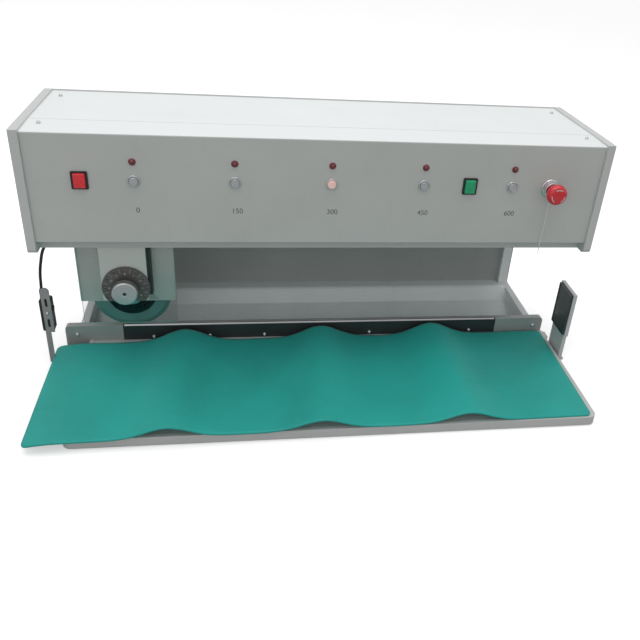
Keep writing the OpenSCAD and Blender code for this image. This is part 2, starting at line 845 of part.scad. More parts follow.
// Round blade with a double-bevelled rim
module round_blade() {
    y = blade_y;
    t = blade_t / 2;
    color("lightsteelblue") from_panel() turned(park_x, blade_z,
        [[20, y - t], [blade_r - 7, y - t], [blade_r, y - 0.1], [blade_r, y + 0.1],
         [blade_r - 7, y + t], [20, y + t]]);
}

// Knob with a hexagon socket; its stem turns in the adjuster block
module adjusting_knob() {
    y = block_y - 3;
    color("lightsteelblue") from_panel() difference() {
        turned(park_x, dial_z, [[0, y - 22], [knob_r - 1.5, y - 22], [knob_r, y - 20.5],
            [knob_r, y - 9], [knob_r - 1.5, y - 7.5], [11, y - 7.5], [11, y - 0.4],
            [8, y - 0.4], [8, block_y + 12], [0, block_y + 12]]);
        translate([park_x, y - 17, dial_z]) rotate([90, 0, 0]) cylinder(r = 3.2, h = 6, $fn = 6);
    }
}

// ---- fasteners ----

module screws() {
    color("lightgray") from_panel() {
        for (s = [-1, 1]) {
            screw([s * (half_w - 20), 40, hood_top], [0, 0, 1], 3);
            screw([s * (half_w - 20), 200, hood_top - cover_fall * 0.76], [0, 0, 1], 3);
            for (z = [270, 340, 400], y = [rail_y + 10])
                screw([s * (half_w + end_t), y, z], [s, 0, 0], 3.4);
            screw([s * (beam_w / 2 - 20), beam_y, 32], [0, -1, 0], 4);
        }
        for (x = [-300:100:300]) screw([x, beam_y, 24], [0, -1, 0], 3.5);
        screw([sensor_x + 2, sensor_y, 104], [0, -1, 0], 3);
        for (y = [15, 45]) screw([reflector_x + 11, y, 105], [1, 0, 0], 3);
        for (x = [-400, -200, 0, 200, 400], z = [258, 412])
            screw([x, hood_depth + back_t, z], [0, 1, 0], 4);
    }
}

base_plate();
side_plates();
front_beam();
blade_holder();
straight_blade();
chute();
back_plate();
uprights();
tray();
rubber_mat();
rubber_feet();
front_panel();
top_cover();
end_plate_left();
end_plate_right();
rail_beam();
linear_rails();
motor();
motor_bracket();
idler_bracket();
drive_belt();
power_supply();
control_board();
position_sensors();
button_rings();
indicator_lamps();
switch_frames();
estop_collar();
mains_inlet();
screws();
sensor_bracket();
sensor();
sensor_lead();
lead_junction();
reflector_bracket();
reflector();
tag_string();
saddle();
rail_blocks();
head_arm();
spindle_housing();
head_plate();
adjuster_block();
slide_gib();
index_dial();
blade_guard();
belt_clamp();
spindle_bearings();
spindle();
blade_flange();
round_blade();
adjusting_knob();
drive_pulley();
idler_pulley();
button_0();
button_1();
button_2();
button_3();
button_4();
red_switch();
green_switch();
estop_head();
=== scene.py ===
import math

import bmesh
import bpy
from bpy.props import FloatProperty, FloatVectorProperty, IntProperty, PointerProperty
from mathutils import Matrix, Vector


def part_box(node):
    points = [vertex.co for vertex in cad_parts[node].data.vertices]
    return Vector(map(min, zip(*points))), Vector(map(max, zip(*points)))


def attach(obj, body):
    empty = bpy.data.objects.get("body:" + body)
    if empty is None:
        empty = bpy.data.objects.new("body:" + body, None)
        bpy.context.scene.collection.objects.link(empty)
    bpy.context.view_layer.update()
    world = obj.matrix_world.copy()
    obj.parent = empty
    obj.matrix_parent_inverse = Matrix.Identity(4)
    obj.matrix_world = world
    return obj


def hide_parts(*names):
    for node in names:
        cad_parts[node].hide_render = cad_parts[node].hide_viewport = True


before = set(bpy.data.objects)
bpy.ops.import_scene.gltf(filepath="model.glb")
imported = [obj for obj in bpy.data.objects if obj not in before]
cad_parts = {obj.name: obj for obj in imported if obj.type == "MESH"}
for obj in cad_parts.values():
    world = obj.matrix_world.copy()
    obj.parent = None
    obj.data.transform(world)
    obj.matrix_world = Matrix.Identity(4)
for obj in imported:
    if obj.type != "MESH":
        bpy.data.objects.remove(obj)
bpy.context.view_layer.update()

bl_info = {
    "name": "Board Depaneling Machine",
    "version": (1, 0, 0),
    "blender": (4, 5, 0),
    "location": "3D View > Sidebar > Depaneler",
    "description": "Finishes and details for a benchtop machine that parts circuit boards",
    "category": "Object",
}

MM = 0.001
TURN = 2 * math.pi


# ---- places taken from the frame ----

def middle(node):
    """Centre of a node's box."""
    low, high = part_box(node)
    return (low + high) / 2


PANEL_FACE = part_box("front_panel")[0].y
BUTTONS = ["button_0", "button_1", "button_2", "button_3", "button_4"]
LENGTHS = ["0", "150", "300", "450", "600"]
HOOD_MIDDLE = middle("front_panel").x
TRAY_LOW, TRAY_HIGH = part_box("tray")
DIAL_LOW, DIAL_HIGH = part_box("index_dial")
DIAL_RADIUS = DIAL_HIGH.z - middle("adjusting_knob").z
STOP_TRAVEL = 5 * MM

# Where each fold of the mat stands at its front edge and at the beam, from the hood's middle.
FOLDS = [(-0.256, -0.245), (-0.015, 0.003), (0.227, 0.217)]

# Millimetres from the middle of the panel's face and the floor.
LEAD_ROUTE = [(-448, 50, 247), (-448, 50, 239), (-451, 50, 230), (-456, 50, 222), (-460, 50, 212),
              (-463, 50, 200), (-466, 50, 186), (-468, 50, 172), (-469, 50, 157), (-470, 50, 142),
              (-470, 50, 133)]
LEAD_DIAMETER = 4.8 * MM
STRING_ROUTE = [(367, -7, 345.8), (367, -7, 338), (367, -7, 325), (368, -6, 310), (368, -5, 295),
                (368, -4, 280), (368, -3, 265), (368, -3, 250), (368, -3, 240)]
STRING_DIAMETER = 1.2 * MM


# ---- settings ----

def length(name, default, about):
    return FloatProperty(name=name, description=about, default=default, min=0, subtype="DISTANCE",
                         unit="LENGTH", precision=4)


def colour(name, default, about):
    return FloatVectorProperty(name=name, description=about, default=default, size=3, min=0, max=1,
                               subtype="COLOR")


class CameraSettings(bpy.types.PropertyGroup):
    place: FloatVectorProperty(name="Place", description="Where the camera stands", subtype="XYZ",
                               unit="LENGTH", default=(-0.14292, -1.11418, 0.7882))
    heading: FloatProperty(name="Heading", description="Turn of the camera towards the right",
                           default=math.radians(12.14), subtype="ANGLE")
    tilt: FloatProperty(name="Tilt", description="Tilt of the camera above the level",
                        default=math.radians(-29.91), subtype="ANGLE")
    roll: FloatProperty(name="Roll", description="Roll of the camera about its line of sight",
                        default=math.radians(5.39), subtype="ANGLE")
    lens: FloatProperty(name="Lens", description="Focal length on a 36 mm sensor", default=41.3)
    shift: FloatVectorProperty(name="Shift", description="Shift of the lens", size=2,
                               default=(-0.0865, -0.0342))


class StageSettings(bpy.types.PropertyGroup):
    sky: FloatProperty(name="Sky", description="Strength of the even light from all round", default=0.62)
    overhead: FloatProperty(name="Overhead", description="Power of the soft lamp above", default=30,
                            unit="POWER")
    front: FloatProperty(name="Front", description="Power of the soft lamp in front", default=4,
                         unit="POWER")
    floor: colour("Floor", (0.80, 0.80, 0.80), "Colour of the floor")


class PaintSettings(bpy.types.PropertyGroup):
    # The panel's grey is darker than its real pale paint: painted shade on the upright face.
    panel: colour("Front panel", (0.50, 0.52, 0.50), "Grey paint of the front panel")
    shell: colour("Shell", (0.76, 0.79, 0.79), "Pale paint of the cover and the base")
    edge: colour("End plates", (0.54, 0.56, 0.55), "Pale grey of the end plates and the tray")
    wall: colour("Back plate", (0.36, 0.38, 0.37), "Grey inside of the back plate")
    chute: colour("Chute", (0.80, 0.86, 0.86), "Satin paint of the chute")
    mark: colour("Marks", (0.12, 0.13, 0.13), "Dark grey of the printed numbers")


class MetalSettings(bpy.types.PropertyGroup):
    aluminium: colour("Aluminium", (0.67, 0.69, 0.66), "Milled aluminium of the cutting head")
    beam: colour("Beam ends", (0.40, 0.42, 0.41), "Ground steel of the front beam")
    dark: colour("Blackened steel", (0.045, 0.055, 0.057), "Blackened steel")
    blade: colour("Blade", (0.44, 0.46, 0.46), "Ground steel of the blades")
    bright: colour("Bright steel", (0.62, 0.64, 0.65), "Polished and plated steel")


class PlasticSettings(bpy.types.PropertyGroup):
    acrylic: colour("Acrylic", (0.02, 0.07, 0.06), "Green-tinted clear sheet of the guard")
    acrylic_edge: colour("Acrylic edge", (0.30, 0.62, 0.54), "Cut edge of the clear sheet")
    black: colour("Black plastic", (0.018, 0.018, 0.018), "Moulded black plastic")
    red: colour("Red", (0.62, 0.02, 0.03), "Red lens and emergency stop")
    green: colour("Green", (0.004, 0.30, 0.13), "Green lens")
    lamp: colour("Lamp", (0.16, 0.012, 0.02), "Unlit red lamp")


class MatSettings(bpy.types.PropertyGroup):
    colour: colour("Mat", (0.012, 0.36, 0.315), "Green top layer of the rubber mat")
    core: colour("Core", (0.012, 0.02, 0.02), "Black underside of the mat")
    thickness: length("Thickness", 2.4 * MM, "Thickness of the mat")
    fold: length("Fold", 18 * MM, "Height of the folds at the front edge")
    rise: length("Rise", 7 * MM, "How much higher the folds are at the beam")
    spread: length("Spread", 46 * MM, "Half-width of each fold")
    droop: length("Droop", 5 * MM, "How far the overhanging end hangs down")
    corner: length("Corner", 9 * MM, "Radius of the mat's corners")


class DetailSettings(bpy.types.PropertyGroup):
    number: length("Number", 12 * MM, "Height of the numbers on the panel")
    number_drop: length("Number drop", 48 * MM, "Drop from the buttons to the numbers")
    print_t: length("Print", 0.12 * MM, "Thickness of the printed marks")
    dial_number: length("Dial number", 6 * MM, "Height of the dial's numbers")
    knurls: IntProperty(name="Knurls", description="Grooves round the knob", default=60)


SETTINGS = {
    "depaneler_camera": CameraSettings,
    "depaneler_stage": StageSettings,
    "depaneler_paint": PaintSettings,
    "depaneler_metal": MetalSettings,
    "depaneler_plastic": PlasticSettings,
    "depaneler_mat": MatSettings,
    "depaneler_detail": DetailSettings,
}


def settings(name):
    return getattr(bpy.context.scene, "depaneler_" + name)


# ---- materials ----

def new_material(name):
    """An empty material with its shader and its output."""
    material = bpy.data.materials.new(name)
    material.use_nodes = True
    tree = material.node_tree
    tree.nodes.clear()
    shader = tree.nodes.new("ShaderNodeBsdfPrincipled")
    output = tree.nodes.new("ShaderNodeOutputMaterial")
    tree.links.new(shader.outputs["BSDF"], output.inputs["Surface"])
    return material, tree, shader


def add(tree, kind, inputs, **options):
    """Adds a node, sets its options, and sets or links its inputs."""
    made = tree.nodes.new("ShaderNode" + kind)
    for name, value in options.items():
        setattr(made, name, value)
    for name, value in inputs.items():
        if isinstance(value, bpy.types.NodeSocket):
            tree.links.new(value, made.inputs[name])
        else:
            made.inputs[name].default_value = value
    return made


def scaled(colour, share):
    return tuple(min(1, c * share) for c in colour)


def object_place(tree, stretch=(1, 1, 1)):
    """Object coordinates, stretched along the axes."""
    coordinates = tree.nodes.new("ShaderNodeTexCoord")
    mapping = add(tree, "Mapping", {"Vector": coordinates.outputs["Object"], "Scale": stretch})
    return mapping.outputs["Vector"]


def noise(tree, place, size, detail=3.0, roughness=0.55):
    """A noise whose patches are about size metres across."""
    made = add(tree, "TexNoise", {"Vector": place, "Scale": 1 / size, "Detail": detail,
                                  "Roughness": roughness})
    return made.outputs["Fac"]


def spread(tree, value, low, high, from_low=0.3, from_high=0.7):
    """Maps a value to a range."""
    made = add(tree, "MapRange", {"Value": value, "From Min": from_low, "From Max": from_high,
                                  "To Min": low, "To Max": high})
    return made.outputs["Result"]


def blend_colours(tree, factor, first, second):
    made = add(tree, "Mix", {"Factor": factor}, data_type="RGBA")
    for index, value in ((6, first), (7, second)):
        if isinstance(value, bpy.types.NodeSocket):
            tree.links.new(value, made.inputs[index])
        else:
            made.inputs[index].default_value = (*value, 1)
    return made.outputs[2]


def edge_wear_and_highlight(tree, radius):
    """A rounded normal, and 1 along edges falling to 0 on flats."""
    rounded = add(tree, "Bevel", {"Radius": radius}, samples=4)
    geometry = tree.nodes.new("ShaderNodeNewGeometry")
    lined_up = add(tree, "VectorMath", {0: rounded.outputs["Normal"], 1: geometry.outputs["Normal"]},
                   operation="DOT_PRODUCT")
    return rounded.outputs["Normal"], spread(tree, lined_up.outputs["Value"], 1, 0, 0.80, 0.995)


def surface(name, colour, roughness, metallic=0.0, mottle=0.04, mottle_size=0.12, grain_size=0.0012,
            grain_depth=0.00004, stretch=(1, 1, 1), edge=0.0006, worn_and_highlight=0.35, rough_spread=0.06,
            specular=0.5, coat=0.0, smudge=0.0, painted_top_light=None):
    """A painted, plated or machined surface: mottled colour, fine grain, and paler rounded edges, partly
    wear and partly a painted highlight.

    Painted top light: where given, this paler colour goes on what faces up, standing in for the light from
    above.
    """
    material, tree, shader = new_material(name)
    place = object_place(tree)
    grain = noise(tree, object_place(tree, stretch), grain_size, 2.0)
    patches = noise(tree, place, mottle_size, 4.0)
    tinted = blend_colours(tree, spread(tree, patches, 0, 1), scaled(colour, 1 - mottle),
                           scaled(colour, 1 + mottle))
    if smudge > 0:
        marks = noise(tree, object_place(tree, (1, 1, 0.35)), mottle_size / 4, 6.0, 0.7)
        tinted = blend_colours(tree, spread(tree, marks, 0, smudge, 0.55, 0.8), tinted,
                               scaled(colour, 0.55))
    normal, edges = edge_wear_and_highlight(tree, edge)
    # Paler edges: partly real wear, partly a painted highlight along the rounded edges.
    if worn_and_highlight > 0:
        share = add(tree, "Math", {0: edges, 1: worn_and_highlight}, operation="MULTIPLY")
        tinted = blend_colours(tree, share.outputs["Value"], tinted, scaled(colour, 1.35))
    bump = add(tree, "Bump", {"Height": grain, "Strength": 1.0, "Distance": grain_depth,
                              "Normal": normal})
    # Painted top light: faces turned up get the paler colour.
    if painted_top_light:
        geometry = tree.nodes.new("ShaderNodeNewGeometry")
        facing = add(tree, "SeparateXYZ", {"Vector": geometry.outputs["Normal"]})
        tinted = blend_colours(tree, spread(tree, facing.outputs["Z"], 0, 1, 0.6, 0.8), tinted, painted_top_light)
    tree.links.new(tinted, shader.inputs["Base Color"])
    tree.links.new(spread(tree, grain, roughness - rough_spread, roughness + rough_spread),
                   shader.inputs["Roughness"])
    tree.links.new(bump.outputs["Normal"], shader.inputs["Normal"])
    shader.inputs["Metallic"].default_value = metallic
    shader.inputs["Specular IOR Level"].default_value = specular
    shader.inputs["Coat Weight"].default_value = coat
    return material


def panel_paint_and_painted_light():
    """Grey on the face, darker than the real pale paint as painted shade, and the shell's pale paint on
    what faces up as painted top light.
    """
    return surface("panel_paint_and_painted_light", settings("paint").panel, 0.42, mottle=0.035, grain_size=0.0010,
                   grain_depth=0.00005, smudge=0.10, worn_and_highlight=0.5, edge=0.0012,
                   painted_top_light=tuple(settings("paint").shell))


def shell_paint():
    return surface("shell_paint", settings("paint").shell, 0.40, mottle=0.02, grain_depth=0.00005,
                   worn_and_highlight=0.2, edge=0.0012)


def plate_paint():
    return surface("plate_paint", settings("paint").edge, 0.42, mottle=0.03, grain_depth=0.00005,
                   worn_and_highlight=0.45, edge=0.0014)


def wall_paint():
    return surface("wall_paint", settings("paint").wall, 0.50, mottle=0.05, grain_depth=0.00005,
                   smudge=0.15)


def chute_paint():
    return surface("chute_paint", settings("paint").chute, 0.30, mottle=0.04, stretch=(0.05, 1, 1),
                   grain_depth=0.00003, smudge=0.18, coat=0.3)


def milled_aluminium():
    return surface("milled_aluminium", settings("metal").aluminium, 0.42, 0.55, mottle=0.04,
                   stretch=(0.04, 1, 1), grain_size=0.0007, grain_depth=0.00002, worn_and_highlight=0.5, edge=0.0008)


def beam_steel():
    return surface("beam_steel", settings("metal").beam, 0.46, 0.4, mottle=0.06, stretch=(0.03, 1, 1),
                   grain_size=0.0008, grain_depth=0.00002, worn_and_highlight=0.7, edge=0.001, smudge=0.25)


def dark_steel():
    return surface("dark_steel", settings("metal").dark, 0.45, 0.5, mottle=0.12, mottle_size=0.05,
                   stretch=(0.05, 1, 1), worn_and_highlight=0.6, edge=0.0006)


def dial_steel():
    return surface("dial_steel", (0.115, 0.112, 0.105), 0.40, 0.3, mottle=0.10, mottle_size=0.02,
                   grain_size=0.0006, grain_depth=0.00002, worn_and_highlight=0.5)


def bright_steel():
    return surface("bright_steel", settings("metal").bright, 0.26, 1.0, mottle=0.03, worn_and_highlight=0.2,
                   grain_size=0.0005, grain_depth=0.00001)


def plated_steel():
    return surface("plated_steel", scaled(settings("metal").bright, 0.62), 0.40, 0.8, mottle=0.08,
                   mottle_size=0.02, worn_and_highlight=0.5, edge=0.0005, smudge=0.2)


def bearing_steel():
    return surface("bearing_steel", scaled(settings("metal").bright, 0.8), 0.30, 1.0, mottle=0.05,
                   stretch=(0.02, 1, 1), grain_size=0.0006, grain_depth=0.00001, edge=0.0003)


def black_plastic():
    return surface("black_plastic", settings("plastic").black, 0.48, mottle=0.2, mottle_size=0.02,
                   grain_size=0.0006, grain_depth=0.00006, worn_and_highlight=0.3, edge=0.0005)


def black_rubber():
    return surface("black_rubber", (0.02, 0.02, 0.02), 0.72, mottle=0.2, mottle_size=0.03,
                   grain_size=0.0008, grain_depth=0.00008, worn_and_highlight=0.2, smudge=0.2)


# The emergency stop's paler rim, from the edge term, is a painted highlight.
def red_plastic():
    return surface("red_plastic", settings("plastic").red, 0.28, mottle=0.06, mottle_size=0.01,
                   grain_depth=0.00001, worn_and_highlight=0.5, edge=0.0010, coat=0.4)


def white_print():
    return surface("white_print", (0.55, 0.56, 0.55), 0.6, mottle=0.1, mottle_size=0.004, worn_and_highlight=0)


def dark_print():
    return surface("dark_print", settings("paint").mark, 0.6, mottle=0.25, mottle_size=0.003, worn_and_highlight=0)


def string_cotton():
    return surface("string_cotton", (0.72, 0.72, 0.70), 0.9, mottle=0.15, mottle_size=0.002,
                   grain_size=0.0004, grain_depth=0.0002, worn_and_highlight=0)


def circuit_lacquer():
    return surface("circuit_lacquer", (0.01, 0.12, 0.04), 0.35, mottle=0.3, mottle_size=0.006,
                   coat=0.5, worn_and_highlight=0.2)


def ring_height(tree, centre, rings):
    """A noise in fine rings round an axis that runs along Y through centre."""
    coordinates = tree.nodes.new("ShaderNodeTexCoord")
    moved = add(tree, "VectorMath", {0: coordinates.outputs["Object"], 1: centre}, operation="SUBTRACT")
    flat = add(tree, "VectorMath", {0: moved.outputs["Vector"], 1: (1, 0, 1)}, operation="MULTIPLY")
    radius = add(tree, "VectorMath", {0: flat.outputs["Vector"]}, operation="LENGTH")
    joined = add(tree, "CombineXYZ", {"X": radius.outputs["Value"]})
    return noise(tree, joined.outputs["Vector"], rings, 3.0, 0.7)


def blade_steel(name, node, colour, roughness, rings=0.0006, depth=0.00002):
    """Steel ground in rings round the axis of the given node."""
    material, tree, shader = new_material(name)
    height = ring_height(tree, middle(node), rings)
    normal, _ = edge_wear_and_highlight(tree, 0.0004)
    patches = noise(tree, object_place(tree), 0.03, 4.0)
    tinted = blend_colours(tree, spread(tree, patches, 0, 1), scaled(colour, 0.92), scaled(colour, 1.08))
    tinted = blend_colours(tree, spread(tree, height, 0, 0.5), tinted, scaled(colour, 0.7))
    bump = add(tree, "Bump", {"Height": height, "Strength": 0.8, "Distance": depth, "Normal": normal})
    tree.links.new(tinted, shader.inputs["Base Color"])
    tree.links.new(spread(tree, height, roughness - 0.06, roughness + 0.08), shader.inputs["Roughness"])
    tree.links.new(bump.outputs["Normal"], shader.inputs["Normal"])
    shader.inputs["Metallic"].default_value = 0.9
    return material


def mat_rubber():
    """Top layer of the mat: matt emboss, paler scuffs, and a faint dust."""
    colour = settings("mat").colour
    material, tree, shader = new_material("mat_rubber")
    place = object_place(tree)
    patches = noise(tree, place, 0.16, 4.0)
    scuffs = noise(tree, object_place(tree, (0.35, 1, 1)), 0.012, 6.0, 0.7)
    dust = noise(tree, place, 0.0016, 2.0)
    tinted = blend_colours(tree, spread(tree, patches, 0, 1), scaled(colour, 0.86), scaled(colour, 1.12))
    tinted = blend_colours(tree, spread(tree, scuffs, 0, 0.35, 0.58, 0.8), tinted,
                           (0.07, 0.36, 0.33))
    tinted = blend_colours(tree, spread(tree, dust, 0, 0.12, 0.6, 0.8), tinted, (0.30, 0.46, 0.44))
    emboss = add(tree, "TexVoronoi", {"Vector": place, "Scale": 900.0}, feature="F1")
    bump = add(tree, "Bump", {"Height": emboss.outputs["Distance"], "Strength": 0.5,
                              "Distance": 0.00012})
    tree.links.new(tinted, shader.inputs["Base Color"])
    tree.links.new(spread(tree, scuffs, 0.52, 0.66), shader.inputs["Roughness"])
    tree.links.new(bump.outputs["Normal"], shader.inputs["Normal"])
    shader.inputs["Specular IOR Level"].default_value = 0.35
    shader.inputs["Sheen Weight"].default_value = 0.08
    return material


def clear_acrylic():
    """Tinted clear sheet with faint wipe marks."""
    material, tree, shader = new_material("clear_acrylic")
    wipes = noise(tree, object_place(tree, (1, 1, 0.3)), 0.02, 6.0, 0.7)
    bump = add(tree, "Bump", {"Height": wipes, "Strength": 0.15, "Distance": 0.0002})
    tree.links.new(spread(tree, wipes, 0.02, 0.09, 0.4, 0.8), shader.inputs["Roughness"])
    tree.links.new(bump.outputs["Normal"], shader.inputs["Normal"])
    shader.inputs["Base Color"].default_value = (*settings("plastic").acrylic, 1)
    shader.inputs["Alpha"].default_value = 0.10
    shader.inputs["IOR"].default_value = 1.49
    return material


def acrylic_edge():
    return surface("acrylic_edge", settings("plastic").acrylic_edge, 0.25, mottle=0.08,
                   mottle_size=0.01, worn_and_highlight=0, coat=0.3)


def lens_plastic(name, colour, glow=0.0):
    """Coloured lens with a ribbed diffuser under its face, and a painted highlight on its edges."""
    material, tree, shader = new_material(name)
    place = object_place(tree)
    ribs = add(tree, "TexWave", {"Vector": place, "Scale": 260.0, "Distortion": 0.2}, bands_direction="X")
    patches = noise(tree, place, 0.006, 3.0)
    tinted = blend_colours(tree, spread(tree, patches, 0, 1), scaled(colour, 0.8), scaled(colour, 1.2))
    normal, edges = edge_wear_and_highlight(tree, 0.0010)
    # Painted highlight: the rounded edges get nearly twice the lens colour.
    tinted = blend_colours(tree, spread(tree, edges, 0, 0.4, 0, 1), tinted, scaled(colour, 1.9))
    bump = add(tree, "Bump", {"Height": ribs.outputs["Fac"], "Strength": 0.15, "Distance": 0.0002,
                              "Normal": normal})
    tree.links.new(tinted, shader.inputs["Base Color"])
    tree.links.new(bump.outputs["Normal"], shader.inputs["Normal"])
    shader.inputs["Roughness"].default_value = 0.24
    shader.inputs["Coat Weight"].default_value = 0.5
    shader.inputs["Emission Color"].default_value = (*colour, 1)
    shader.inputs["Emission Strength"].default_value = glow
    return material


def reflector_plastic():
    """Dark prismatic reflector: a close grid of small cells under a clear face."""
    material, tree, shader = new_material("reflector_plastic")
    place = object_place(tree)
    cells = add(tree, "TexVoronoi", {"Vector": place, "Scale": 380.0, "Randomness": 0.15}, feature="F1")
    tinted = blend_colours(tree, spread(tree, cells.outputs["Distance"], 0, 1, 0.1, 0.6),
                           (0.050, 0.060, 0.066), (0.024, 0.030, 0.034))
    bump = add(tree, "Bump", {"Height": cells.outputs["Distance"], "Strength": 0.5, "Distance": 0.0004})
    tree.links.new(tinted, shader.inputs["Base Color"])
    tree.links.new(bump.outputs["Normal"], shader.inputs["Normal"])
    shader.inputs["Roughness"].default_value = 0.28
    shader.inputs["Metallic"].default_value = 0.3
    shader.inputs["Coat Weight"].default_value = 0.6
    return material


MADE = {}


def material(recipe, *values):
    """Makes a material once and hands out the same one after that."""
    key = (recipe.__name__, *[str(v) for v in values[:1]])
    if key not in MADE:
        MADE[key] = recipe(*values)
    return MADE[key]


def dress(nodes, finish):
    """Gives CAD nodes a material in their objects' own slots."""
    for name in nodes:
        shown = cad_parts[name]
        if not shown.material_slots:
            shown.data.materials.append(finish)
        for held in shown.material_slots:
            held.material = finish


# ---- making pieces ----

def piece(name, shape, finishes, body):
    """Turns a bmesh into an object that rides on a body."""
    mesh = bpy.data.meshes.new(name)
    shape.to_mesh(mesh)
    shape.free()
    return place_mesh(name, mesh, finishes, body)


def place_mesh(name, mesh, finishes, body):
    made = bpy.data.objects.new(name, mesh)
    bpy.context.scene.collection.objects.link(made)
    for finish in finishes:
        mesh.materials.append(finish)
    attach(made, body)
    return made


def smooth(made, angle=0.6):
    """Smooth shading with sharp edges past an angle."""
    for face in made.data.polygons:
        face.use_smooth = True
    made.data.set_sharp_from_angle(angle=angle)


def join(target, part):
    """Adds a bmesh to another and frees it."""
    mesh = bpy.data.meshes.new("part")
    part.to_mesh(mesh)
    part.free()
    target.from_mesh(mesh)
    bpy.data.meshes.remove(mesh)


def slab(low, high, bevel, segments=3):
    """A box with rounded edges."""
    low, high = Vector(low), Vector(high)
    shape = bmesh.new()
    bmesh.ops.create_cube(shape, size=1)
    bmesh.ops.scale(shape, vec=high - low, verts=shape.verts)
    bmesh.ops.translate(shape, vec=(low + high) / 2, verts=shape.verts)
    bmesh.ops.bevel(shape, geom=shape.edges[:], offset=bevel, segments=segments, profile=0.5,
                    affect="EDGES", material=-1)
    return shape


def turned(profile, centre, steps=64):
    """Spins (radius, y) points round an axis along Y through centre."""
    shape = bmesh.new()
    ring = [shape.verts.new((r, y, 0)) for r, y in profile]
    edges = [shape.edges.new(pair) for pair in zip(ring, ring[1:])]
    bmesh.ops.spin(shape, geom=ring + edges, cent=(0, 0, 0), axis=(0, 1, 0), angle=TURN,
                   steps=steps, use_merge=True)
    bmesh.ops.remove_doubles(shape, verts=shape.verts, dist=1e-6)
    bmesh.ops.recalc_face_normals(shape, faces=shape.faces)
    bmesh.ops.translate(shape, vec=Vector((centre.x, 0, centre.z)), verts=shape.verts)
    return shape


def lettering(text, size, depth):
    """A mesh of flat figures in the XZ plane, read from the front and centred on the origin."""
    curve = bpy.data.curves.new("figures", "FONT")
    curve.body = text
    curve.size = size
    curve.extrude = depth
    curve.align_x = "CENTER"
    curve.align_y = "CENTER"
    holder = bpy.data.objects.new("figures", curve)
    bpy.context.scene.collection.objects.link(holder)
    bpy.context.view_layer.update()
    seen = holder.evaluated_get(bpy.context.evaluated_depsgraph_get())
    mesh = bpy.data.meshes.new_from_object(seen)
    bpy.data.objects.remove(holder)
    bpy.data.curves.remove(curve)
    mesh.transform(Matrix.Rotation(math.pi / 2, 4, "X"))
    return mesh


def add_lettering(shape, text, size, depth, place, turn=0.0):
    """Adds figures to a bmesh at a place, turned about Y."""
    mesh = lettering(text, size, depth)
    mesh.transform(Matrix.Translation(place) @ Matrix.Rotation(turn, 4, "Y"))
    shape.from_mesh(mesh)
    bpy.data.meshes.remove(mesh)


def cord_curve(name, points, diameter, finish):
    """A smooth round curve through points."""
    curve = bpy.data.curves.new(name, "CURVE")
    curve.dimensions = "3D"
    curve.bevel_depth = diameter / 2
    curve.bevel_resolution = 4
    curve.resolution_u = 6
    curve.use_fill_caps = True
    spline = curve.splines.new("BEZIER")
    spline.bezier_points.add(len(points) - 1)
    for knot, point in zip(spline.bezier_points, points):
        knot.co = point
        knot.handle_left_type = "AUTO"
        knot.handle_right_type = "AUTO"
    curve.materials.append(finish)
    made = bpy.data.objects.new(name, curve)
    bpy.context.scene.collection.objects.link(made)
    return made


def from_panel(points):
    """Points in millimetres from the middle of the panel's face and the floor, in the frame."""
    return [Vector((HOOD_MIDDLE + x * MM, PANEL_FACE + y * MM, z * MM)) for x, y, z in points]


# ---- operators ----

class Maker(bpy.types.Operator):
    """Base of the operators that make one group of pieces"""
    bl_options = {"REGISTER", "UNDO"}

    def execute(self, context):
        self.make()
        return {"FINISHED"}


class DEPANELER_OT_camera(Maker):
    """Places the camera at the front, above and to the left of the machine"""
    bl_idname = "depaneler.camera"
    bl_label = "Camera"

    def make(self):
        view = settings("camera")
        ahead = Vector((math.sin(view.heading) * math.cos(view.tilt),
                        math.cos(view.heading) * math.cos(view.tilt), math.sin(view.tilt)))
        level = Vector((math.cos(view.heading), -math.sin(view.heading), 0))
        upright = level.cross(ahead)
        right = math.cos(view.roll) * level + math.sin(view.roll) * upright
        up = math.cos(view.roll) * upright - math.sin(view.roll) * level
        data = bpy.data.cameras.new("camera")
        data.lens = view.lens
        data.sensor_width = 36
        data.shift_x, data.shift_y = view.shift
        data.clip_start = 0.05
        camera = bpy.data.objects.new("camera", data)
        turn = Matrix((right, up, -ahead)).transposed()
        camera.matrix_world = Matrix.Translation(Vector(view.place)) @ turn.to_4x4()
        bpy.context.scene.collection.objects.link(camera)
        bpy.context.scene.camera = camera


class DEPANELER_OT_sensor_lead(Maker):
    """Makes the sensor's lead, which hangs from the hood's left end"""
    bl_idname = "depaneler.sensor_lead"
    bl_label = "Sensor Lead"

    def make(self):
        points = from_panel(LEAD_ROUTE)
        lead = cord_curve("sensor_lead_cord", points, LEAD_DIAMETER, material(black_rubber))
        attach(lead, "frame")
        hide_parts("sensor_lead")


class DEPANELER_OT_tag_string(Maker):
    """Makes the thin string that hangs below the emergency stop"""
    bl_idname = "depaneler.tag_string"
    bl_label = "Tag String"

    def make(self):
        points = from_panel(STRING_ROUTE)
        string = cord_curve("tag_string_cord", points, STRING_DIAMETER, material(string_cotton))
        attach(string, "frame")
        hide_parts("tag_string")


